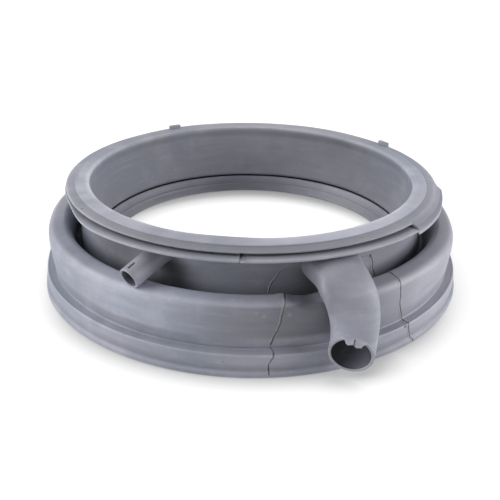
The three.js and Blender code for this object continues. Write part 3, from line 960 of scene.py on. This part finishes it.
@dataclass
class DrainSpout:
    """Drain spout: a flat root under the flange that turns down into a round mouth with a torn edge.

    Each section has its middle's radius, height and azimuth, its half width and half height, the azimuth that
    it faces, how far it slopes down, and its squareness, which is 2 for an ellipse.
    """

    wall: float = 2.0
    root_azimuth: float = 22.2
    bore_rings: int = 12
    bore_back: float = 14.0
    mouth_half: float = 15.3
    sections: tuple[tuple[float, ...], ...] = (
        (142.4, 62.05, 22.2, 20.0, 8.85, 22.2, 0.0, 2.8),
        (151.9, 63.45, 22.2, 21.0, 10.25, 22.2, 0.0, 2.9),
        (166.3, 63.65, 21.34, 18.62, 10.15, 22.2, 2.0, 2.9),
        (176.6, 61.15, 21.08, 19.19, 8.85, 23.8, 14.0, 2.8),
        (184.0, 54.11, 21.43, 18.51, 8.05, 19.02, 27.0, 2.6),
        (188.0, 42.12, 21.75, 16.75, 9.05, 3.89, 29.0, 2.4),
        (192.0, 30.7, 21.23, 15.62, 12.3, -7.5, 20.0, 2.15),
        (196.0, 20.2, 20.2, 15.3, 15.3, -14.5, 9.0, 2.0),
    )
    along: int = 64
    around: int = 190
    samples: int = 4001
    torn_top: tuple[float, float] = (0.5, 2.2)
    torn_weight: float = 2.6
    flap_rows: int = 12
    flap_bend: float = 6.0
    rim: float = 0.35
    flap_edge: tuple[tuple[float, float], ...] = (
        (-5.9, 0.0), (-5.2, 1.0), (-4.0, 3.9), (-2.6, 5.2), (1.1, 4.5), (1.9, 5.0),
        (3.4, 6.0), (6.6, 4.8), (8.2, 1.6), (9.4, 0.4), (10.0, 0.0),
    )

    def angles(self) -> Grid:
        """Angles round a ring, from its side, closer over the torn top than elsewhere.

        Returns:
            The angles in radians.
        """
        line = np.linspace(0, 2 * np.pi, self.samples)
        torn = (line > self.torn_top[0]) & (line < self.torn_top[1])
        return spaced(line, np.where(torn, self.torn_weight, 1.0), self.around)

    def rings(self, inset: float) -> tuple[Grid, Grid, Grid]:
        """Rings of the spout from root to mouth.

        A point of a ring is its middle plus the half width times a power of the cosine sideways, plus the
        half height times the same power of the sine upright. The power is 2 over the ring's squareness.

        Args:
            inset: how far inside the outer skin the rings are.

        Returns:
            Points (rings, around, 3), and the along and upright vectors at the mouth.
        """
        table = eased_curve(np.array(self.sections), self.along).T[..., None]
        reach, height, azimuth, half_width, half_height, heading, slope, squareness = table
        out, side = frame_at(heading[:, 0])
        along, upright = tipped(out, slope)
        middle = frame_at(azimuth[:, 0])[0] * reach + UP * height
        angle = self.angles()[None, :]
        wide = (half_width - inset) * signed_power(np.cos(angle), 2.0 / squareness)
        high = (half_height - inset) * signed_power(np.sin(angle), 2.0 / squareness)
        points = middle[:, None] + wide[..., None] * side[:, None] + high[..., None] * upright[:, None]
        return points, along[-1], upright[-1]

    def flap(self, ring: Grid, inset: float, along: Grid, upright: Grid) -> Grid:
        """Rows that carry the mouth on into the torn flap.

        Each column goes on past the mouth for the length that the torn edge has there, on an arc that bends
        down over the mouth: forward by R sin(s / R) and down by R (1 - cos(s / R)) after a length s.

        Args:
            ring: the mouth's ring.
            inset: how far inside the outer skin it is, which tightens the arc.
            along: the way that the mouth faces.
            upright: the mouth's upright direction.

        Returns:
            Points (rows, around, 3).
        """
        angle = self.angles()
        across = self.mouth_half * np.cos(angle)
        edge = np.array(self.flap_edge)
        length = np.interp(across, edge[:, 0], edge[:, 1], left=0.0, right=0.0) * (np.sin(angle) > 0)
        length = length + self.rim
        share = np.linspace(0, 1, self.flap_rows + 1)[1:, None]
        bend = self.flap_bend - inset
        turned = share * length[None] / self.flap_bend
        forward = bend * np.sin(turned)
        down = bend * (1 - np.cos(turned))
        return ring[None] + forward[..., None] * along - down[..., None] * upright

    def build(self, material: Material) -> Object:
        """Makes the spout as one closed skin: outside to the torn edge, round it, and back inside.

        The row on the torn edge is halfway between the outside and the inside, and a rim's width further on.

        Args:
            material: the rubber.

        Returns:
            The finished spout.
        """
        outer, along, upright = self.rings(0.0)
        inner, _, _ = self.rings(self.wall)
        outer = np.concatenate([outer, self.flap(outer[-1], 0.0, along, upright)])
        inner = np.concatenate([inner, self.flap(inner[-1], self.wall * 0.7, along, upright)])
        lip = outer[-1] * 0.5 + inner[-1] * 0.5 + along * self.rim
        points = np.concatenate([outer, lip[None], inner[::-1]])
        marks = self.marks(len(points), len(outer))
        return make_piece("drain_spout", points, Turn.BOTH, marks, material, crease=70)

    def marks(self, rows: int, end: int) -> dict[Mark, Grid]:
        """The spout's marks: dust on the torn edge, painted shade inside, and a line torn into the flap.

        The painted shade inside deepens with the way in by an eased step, and round a ring by half of one
        plus the cosine. Painted light makes the outside paler towards the mouth by an eased step, and painted
        shade makes it darker by a bell curve on the left.

        Args:
            rows: rows of the whole skin.
            end: rows of its outside, which come first.

        Returns:
            A grid of values for each mark.
        """
        row = np.arange(rows)[:, None]
        angle = self.angles()[None, :]
        outside, inside = row < end, row >= end + 2
        depth = (row - end - 2) / (rows - end - 3)
        shade = 0.5 + 0.5 * np.cos(angle - 2.3)
        wear = 0.8 * ((row >= end - 1) & ~inside)
        grime_and_shade = inside * np.clip(0.34 + smooth_step(depth, 0.03, 0.25) * 0.5 + 1.1 * shade, 0, 1)
        tear = self.mouth_half * np.cos(angle) - 1.6
        rent = outside * (np.sin(angle) > 0) * smooth_step(row, self.along + 1, self.along + 4)
        painted_light = 0.27 * smooth_step(row, self.along * 0.45, self.along * 0.7)
        painted_light = outside * (painted_light - 0.2 * bell(np.degrees(angle), 180.0, 36.0))
        return all_marks((rows, self.around), wear, grime_and_shade, tear, rent, painted_light)

    def bore(self) -> Object:
        """Closed tube to cut the spout's bore through the wall, from behind it to just outside it.

        Returns:
            The cutter.
        """
        points, _, _ = self.rings(self.wall)
        out, _ = frame_at(np.array(self.root_azimuth))
        points = np.concatenate([(points[0] - out * self.bore_back)[None], points[: self.bore_rings]])
        return make_piece("drain_bore", points, Turn.COLUMNS)


@dataclass
class InletSpigot:
    """Inlet spigot: a plain round tube that slopes down and out over the bulge, with a slot on its top."""

    azimuth: float = -27.5
    reach: float = 175.8
    height: float = 59.0
    heading: float = -39.4
    slope: float = 16.6
    radius: float = 8.1
    bore_radius: float = 6.5
    length: float = 36.0
    flare: float = 1.7
    flare_length: float = 5.0
    slot_turn: float = 88.0
    slot_back: Ramp = (2.0, 2.8, 8.2, 9.2)
    slot_half: tuple[float, float] = (0.5, 1.1)
    slot_depth: float = 1.1
    bore_reach: tuple[float, float] = (14.0, -12.0)
    along: int = 60
    around: int = 160
    rim_rows: int = 7
    bore_rows: int = 24

    def axes(self) -> tuple[Grid, Grid, Grid, Grid]:
        """Where the mouth is and which way it faces.

        Returns:
            Middle of the mouth, and the along, across and upright directions.
        """
        out, across = frame_at(np.array(self.heading))
        mouth = frame_at(np.array(self.azimuth))[0] * self.reach + UP * self.height
        along, upright = tipped(out, self.slope)
        return mouth, along, across, upright

    def rings(self, radius: Grid, back: Grid) -> Grid:
        """Rings of a round tube: middle minus a distance along, plus radius times cosine and sine.

        Args:
            radius: radii (rings, around), or (rings, 1).
            back: distances behind the mouth.

        Returns:
            Points (rings, around, 3).
        """
        mouth, along, across, upright = self.axes()
        angle = np.linspace(0, 2 * np.pi, self.around, endpoint=False)[None, :, None]
        middle = mouth - back[:, None, None] * along
        return middle + radius[..., None] * (np.cos(angle) * across + np.sin(angle) * upright)

    def build(self, material: Material) -> Object:
        """Makes the spigot as one closed skin: root to mouth outside, round the rim, and back inside.

        The outside flares at the root by e to the power of minus the distance over the flare's length. The
        slot is a shallow dent with eased sides, long along the tube and narrow across it.

        Args:
            material: the rubber.

        Returns:
            The finished spigot.
        """
        back = self.length * (1 - np.linspace(0, 1, self.along) ** 0.8)
        angle = np.linspace(0, 360, self.around, endpoint=False)[None, :]
        flare = self.flare * np.exp(-(self.length - back) / self.flare_length)[:, None]
        slot = between(back, *self.slot_back)[:, None]
        across = np.radians(angle - self.slot_turn) * self.radius
        dent = self.slot_depth * slot * (1 - smooth_step(np.abs(across), *self.slot_half))
        outside = self.rings(self.radius + flare - dent, back)
        half_wall = (self.radius - self.bore_radius) / 2
        rim_turn = np.linspace(0, np.pi, self.rim_rows)
        rim_radius = self.radius - half_wall + half_wall * np.cos(rim_turn)
        rim = self.rings(rim_radius[:, None], -0.5 * np.sin(rim_turn))
        inside_back = np.linspace(0.4, self.length, self.bore_rows)
        inside = self.rings(np.full((self.bore_rows, 1), self.bore_radius), inside_back)
        scuff = 0.8 * bell(angle, 152, 7) * (1 - smooth_step(back, 12.0, 22.0))[:, None]
        # The bore gets darker further in: painted shade, carried by the grime and shade mark.
        dark = (0.45 + 0.5 * smooth_step(inside_back, 0.5, 7.0))[:, None]
        blank = np.zeros((self.rim_rows, self.around))
        wear = np.concatenate([scuff, blank + 0.1, 0 * dark + blank[:1]])
        grime_and_shade = np.concatenate([0.7 * slot * (dent > 0.5), blank, dark + blank[:1]])
        points = np.concatenate([outside, rim, inside])
        marks = all_marks(points.shape[:2], wear, grime_and_shade, painted_light=0.1)
        return make_piece("inlet_spigot", points, Turn.BOTH, marks, material)

    def bore(self) -> Object:
        """Closed tube to cut the spigot's bore through the wall."""
        back = self.length + np.array(self.bore_reach)
        return make_piece("spigot_bore", self.rings(np.full((2, 1), self.bore_radius), back), Turn.COLUMNS)


@dataclass
class PullTab:
    """Small upright tab on the outer edge of the front lip."""

    name: str
    azimuth: float
    width: float = 12.6
    thick: float = 3.4
    radius: float = 156.8
    foot: float = 79.6
    head: float = 85.0
    roundness: float = 0.22
    around: int = 48
    rows: int = 24

    def build(self, material: Material) -> Object:
        """Makes the tab, a block with rounded edges.

        A point at turn u and tilt v is the half sizes times signed powers of cos u cos v, sin u cos v and
        sin v, which is a box for a small power.

        Args:
            material: the rubber.

        Returns:
            The finished tab.
        """
        turn = np.linspace(0, 2 * np.pi, self.around, endpoint=False)[None, :]
        tilt = np.linspace(-np.pi / 2, np.pi / 2, self.rows + 2)[1:-1, None]
        level, rising = (signed_power(wave, self.roundness) for wave in (np.cos(tilt), np.sin(tilt)))
        x = self.width / 2 * signed_power(np.cos(turn), self.roundness) * level
        y = self.thick / 2 * signed_power(np.sin(turn), self.roundness) * level
        out, side = frame_at(np.array(self.azimuth))
        points = out * (self.radius + y)[..., None] + side * x[..., None]
        points[..., 2] = (self.head - self.foot) / 2 * rising + (self.head + self.foot) / 2
        marks = all_marks(points.shape[:2], wear=0.25)
        return make_piece(self.name, points, Turn.COLUMNS, marks, material, crease=60)


@dataclass
class Lamp:
    """Square soft lamp that faces the seal from an azimuth and a height."""

    name: str
    azimuth: float
    elevation: float
    distance: float
    size: float
    level: float
    aim: float = 0.05

    def build(self) -> None:
        """Makes the lamp. Its power is its level times pi squared times the distance squared.

        It faces back along outward times the elevation's cosine plus up times its sine.
        """
        data = bpy.data.lights.new(self.name, "AREA")
        data.shape = "SQUARE"
        data.size = self.size
        data.energy = self.level * np.pi**2 * self.distance**2
        out, side = frame_at(np.array(self.azimuth))
        tilt = np.radians(self.elevation)
        back = out * np.cos(tilt) + UP * np.sin(tilt)
        place = back * self.distance + UP * self.aim
        set_place(new_object(self.name, data), (side, np.cross(back, side), back), place)


@dataclass
class Studio:
    """White floor and world, four soft lamps and the camera.

    A ramp of the studio is two values and what they give.
    """

    floor_size: float = 14.0
    floor_drop: float = 0.0002
    floor_lines: int = 9
    floor_colour: Triple = (0.80, 0.80, 0.80)
    seen_colour: Triple = (0.42, 0.42, 0.42)
    outward_glow: Ramp = (0.25, 1.2, 0.84, 1.0)
    inner_glow: Ramp = (0.15, 0.14, 0.0, 0.12)
    contact_reach: float = 0.04
    contact_shade: Ramp = (0.49, 0.97, 0.28, 1.0)
    open_beside: Ramp = (0.125, 0.185, 0.0, 0.65)
    open_within: Ramp = (0.172, 0.118, 0.0, 1.0)
    sky: float = 0.084
    sheen_sky: float = 0.8
    elevation: float = 26.83
    distance: float = 0.575
    rise: float = 0.00284
    roll: float = 0.89
    focal_pixels: float = 609.1
    photo_pixels: float = 500.0
    lamps: Sequence[Lamp] = (
        Lamp("lamp_left", -67.0, 18.0, 2.4, 1.4, 0.52),
        Lamp("lamp_left_back", -100.0, 42.0, 2.4, 1.4, 0.36),
        Lamp("lamp_right", 81.0, 18.0, 2.4, 1.4, 0.72),
        Lamp("lamp_back", 180.0, 40.0, 2.4, 1.6, 0.12),
    )

    def white_rays(self, desk: NodeDesk) -> Socket:
        """One for a ray from the camera or off a shiny or clear surface, else zero.

        Args:
            desk: the material's nodes.

        Returns:
            The share.
        """
        path = desk.add("ShaderNodeLightPath")
        either = desk.math("MAXIMUM", path.outputs["Is Camera Ray"], path.outputs["Is Glossy Ray"])
        return desk.math("MAXIMUM", either, path.outputs["Is Transmission Ray"])

    def floor_paint(self) -> Material:
        """Paint that adds white for the camera, keeps the real shadow, and adds a painted contact shadow.

        The added light is a level by the distance from the middle, times a painted shade. The shade is how
        open the place is to its surroundings, and it goes back to one by a share inside the ring and beside
        it, as painted light. The level is higher in the middle and further out.

        Returns:
            The paint.
        """
        paint = bpy.data.materials.new("floor_paint")
        desk = NodeDesk(paint)
        where = desk.add("ShaderNodeTexCoord").outputs["Object"]
        away = desk.vector("LENGTH", where).outputs["Value"]
        parts = desk.add("ShaderNodeSeparateXYZ")
        desk.join(where, parts.inputs[0])
        level = desk.math("ADD", desk.ramp(away, *self.outward_glow), desk.ramp(away, *self.inner_glow))
        beside = desk.ramp(desk.math("ABSOLUTE", parts.outputs["X"]), *self.open_beside)
        open_share = desk.math("MAXIMUM", beside, desk.ramp(away, *self.open_within))
        near = desk.add("ShaderNodeAmbientOcclusion", samples=24)
        near.inputs["Distance"].default_value = self.contact_reach
        shade = desk.ramp(near.outputs["AO"], *self.contact_shade)
        shade = desk.math("MULTIPLY_ADD", desk.math("SUBTRACT", 1.0, shade), open_share, shade)
        matt = desk.add("ShaderNodeBsdfDiffuse")
        colour = desk.blend(self.white_rays(desk), self.floor_colour, self.seen_colour)
        desk.join(colour, matt.inputs["Color"])
        glow = desk.add("ShaderNodeEmission")
        strength = desk.math("MULTIPLY", self.white_rays(desk), desk.math("MULTIPLY", level, shade))
        desk.join(strength, glow.inputs["Strength"])
        both = desk.add("ShaderNodeAddShader")
        desk.join(matt.outputs["BSDF"], both.inputs[0])
        desk.join(glow.outputs["Emission"], both.inputs[1])
        desk.join(both.outputs["Shader"], desk.add("ShaderNodeOutputMaterial").inputs["Surface"])
        return paint

    def build_floor(self) -> Object:
        """Makes the floor, a square grid just under the seal.

        Returns:
            The floor.
        """
        line = np.linspace(-self.floor_size / 2, self.floor_size / 2, self.floor_lines)
        x, y = np.meshgrid(line, line)
        points = np.stack([x, y, np.full_like(x, -self.floor_drop)], axis=-1).reshape(-1, 3)
        faces = grid_faces(self.floor_lines, self.floor_lines, Turn.NEITHER)
        mesh = bpy.data.meshes.new("floor")
        mesh.from_pydata(points.tolist(), [], faces.tolist())
        mesh.materials.append(self.floor_paint())
        return new_object("floor", mesh)

    def build_sky(self) -> None:
        """Sets the world: white for the camera, pale for the sheen and a low grey for everything else."""
        world = bpy.data.worlds.new("studio")
        bpy.context.scene.world = world
        world.use_nodes = True
        desk = NodeDesk(world)
        sky = desk.add("ShaderNodeBackground")
        sky.inputs["Color"].default_value = (1.0, 1.0, 1.0, 1.0)
        strength = desk.math("MULTIPLY_ADD", self.white_rays(desk), self.sheen_sky - self.sky, self.sky)
        seen = desk.add("ShaderNodeLightPath").outputs["Is Camera Ray"]
        desk.join(desk.math("MAXIMUM", strength, seen), sky.inputs["Strength"])
        desk.join(sky.outputs["Background"], desk.add("ShaderNodeOutputWorld").inputs["Surface"])

    def build_camera(self) -> None:
        """Places the camera where the photo was taken from, looking along its own tilted axis.

        Backward is (0, -cos t, sin t) for a tilt t. Across and upright are level and square to it, and then
        turned about it by the roll.
        """
        data = bpy.data.cameras.new("camera")
        data.sensor_width = 36.0
        data.lens = self.focal_pixels / self.photo_pixels * data.sensor_width
        data.clip_start = 0.01
        data.clip_end = 50.0
        tilt, roll = np.radians(self.elevation), np.radians(self.roll)
        back = np.array([0.0, -np.cos(tilt), np.sin(tilt)])
        right = np.array([1.0, 0.0, 0.0])
        up = np.cross(back, right)
        across = np.cos(roll) * right + np.sin(roll) * up
        upright = np.cos(roll) * up - np.sin(roll) * right
        camera = new_object("camera", data)
        set_place(camera, (across, upright, back), back * self.distance + upright * self.rise)
        bpy.context.scene.camera = camera

    def build(self) -> None:
        """Builds the floor, world, lamps and camera."""
        self.build_floor()
        self.build_sky()
        for lamp in self.lamps:
            lamp.build()
        self.build_camera()
        bpy.context.scene.view_settings.view_transform = "Standard"


CRACKS = (
    Crack((140.0, 154.0), (81.5, 79.4, 76.0, 71.4, 66.6, 61.8), (10.2, 8.8, 7.7, 6.6, 5.7, 5.2), -0.9),
    Crack(
        (158.0, 179.5),
        (61.2, 56.0, 50.8, 45.6, 40.6, 34.9, 28.5, 20.0),
        (8.2, 7.9, 7.5, 7.0, 6.7, 6.5, 5.5, 4.7),
        1.7,
    ),
    Crack((173.5, 188.0), (19.0, 16.9, 16.1, 10.4, 2.4), (4.8, 5.3, 5.4, 4.3, 4.3), 1.7),
    Crack((140.0, 154.0), (79.9, 77.4, 71.8, 67.9, 60.0), (36.2, 37.2, 38.0, 37.6, 38.4), 2.6),
    Crack(
        (158.0, 179.5),
        (60.9, 58.4, 55.4, 50.7, 45.3, 39.6, 33.1, 20.0),
        (37.7, 37.5, 37.1, 36.9, 36.7, 37.0, 37.3, 39.2),
        2.6,
    ),
    Crack((173.5, 188.0), (19.0, 16.8, 16.4, 9.5, 3.7, 0.5), (39.6, 39.7, 39.3, 39.6, 40.4, 41.1), 2.4),
)

# Painted light and shade: bands made paler where light falls and darker where shade falls, by azimuth, with
# darker patches on the wall where the spigot and the spout cast shadow.
PAINTED_LIGHTS = (
    PaintedLight(
        (138.0, 150.0), (80.5, 90.0),
        (-180, -135, -108, -92, -69, -55, -28, 0, 28, 60, 83, 100, 130, 180),
        (0.0, -0.05, 0.3, 0.62, 0.68, 0.52, 0.26, 0.33, 0.56, 0.72, 0.84, 0.55, 0.05, 0.0), 0.3,
    ),
    PaintedLight(
        (150.6, 163.0), (79.3, 90.0),
        (-180, -130, -92, -55, -25, 0, 25, 55, 92, 130, 180),
        (0.0, 0.1, 0.45, 0.05, -0.28, -0.34, -0.24, 0.05, 0.45, 0.1, 0.0), 0.3,
    ),
    PaintedLight(
        (138.0, 143.2), (28.0, 78.0),
        (-180, -160, -134, -108, -90, 90, 107, 137, 155, 180),
        (-0.02, -0.1, -0.25, -0.2, -0.15, -0.15, -0.22, -0.38, -0.22, -0.02), 2.0,
    ),
    PaintedLight(
        (136.0, 143.0), (74.0, 80.6),
        (-180, -110, -80, 80, 110, 180),
        (-0.22, -0.2, 0.0, 0.0, -0.2, -0.22), 0.5,
    ),
    PaintedLight((127.0, 140.0), (14.0, 24.0), (-180, 180), (-0.21, -0.21), 2.0),
    PaintedLight(
        (143.5, 154.0), (33.0, 74.0),
        (-180, -60, -40, -27, -15, 5, 30, 46, 60, 180),
        (0.0, -0.25, -0.52, -0.25, 0.1, -0.05, -0.08, -0.16, -0.1, 0.0), 2.0,
    ),
    PaintedLight(
        (143.5, 157.0), (28.0, 60.0),
        (-180, -30, -26, -20, -14, 8, 14, 19, 25, 180),
        (0.0, 0.0, -0.75, -0.7, 0.0, 0.0, -0.25, -0.5, 0.0, 0.0), 4.0,
    ),
    PaintedLight(
        (158.0, 190.0), (28.0, 60.0),
        (-180, -110, -80, -62, -43, -28, -16, -4, 8, 13, 22, 35, 50, 65, 80, 110, 180),
        (0.0, 0.0, 0.16, 0.18, 0.34, 0.74, 0.5, -0.14, -0.42, -0.48, -0.35, 0.1, 0.2, 0.1, 0.05, 0.0, 0.0),
        4.0,
    ),
    PaintedLight(
        (158.0, 178.0), (51.0, 60.0),
        (-180, -110, -60, -20, 0, 20, 50, 110, 180),
        (0.0, 0.0, 0.2, 0.3, 0.42, 0.2, 0.15, 0.0, 0.0), 1.0,
    ),
    PaintedLight(
        (174.0, 190.0), (-5.0, 18.0),
        (-180, -100, -60, -43, -25, -10, 10, 43, 60, 100, 180),
        (0.0, 0.0, 0.25, 0.38, 0.24, 0.24, 0.2, 0.25, 0.15, 0.0, 0.0), 1.0,
    ),
)

SPOTS = (
    Spot(155.6, -54.5, 81.4, 1.7, 0.55),
    Spot(155.4, -58.9, 81.4, 1.4, -0.25),
    Spot(153.9, 30.0, 81.5, 1.1, 0.45),
    Spot(181.9, -28.7, 17.8, 1.6, 0.4),
    Spot(183.2, -5.4, 11.4, 0.9, 0.5),
    Spot(182.3, 38.2, 15.6, 1.6, 0.9),
    Spot(145.8, 37.0, 58.9, 1.8, 0.9),
    Spot(201.0, 19.8, 34.3, 0.9, 0.9),
    Spot(177.4, 8.6, 45.0, 2.4, -0.14),
    Spot(177.4, 3.2, 44.5, 2.2, -0.14),
    Spot(177.4, 1.4, 47.0, 1.8, -0.12),
)


def dress(piece: Object) -> None:
    """Tells the frame what a piece rides on, hides the frame's own seal part, and reports the piece's
    triangles.

    Args:
        piece: the finished piece.
    """
    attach(piece, "root")
    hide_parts(NODE)
    triangles = sum(len(polygon.vertices) - 2 for polygon in piece.data.polygons)
    LOG.info("%s: %d triangles", piece.name, triangles)


def main() -> None:
    """Loads the frame, builds the seal's pieces in order, then the studio."""
    logging.basicConfig(level=logging.INFO, format="%(name)s %(message)s")
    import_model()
    rubber = rubber_material(RubberFinish(spots=SPOTS))
    spout = DrainSpout()
    spigot = InletSpigot()
    pieces = [
        SealRing(cracks=CRACKS, painted_lights=PAINTED_LIGHTS).build(rubber, [spout.bore(), spigot.bore()]),
        spout.build(rubber),
        spigot.build(rubber),
        PullTab("tab_left", -148.0).build(rubber),
        PullTab("tab_right", 122.4).build(rubber),
    ]
    for piece in pieces:
        dress(piece)
    Studio().build()


if __name__ == "__main__":
    main()
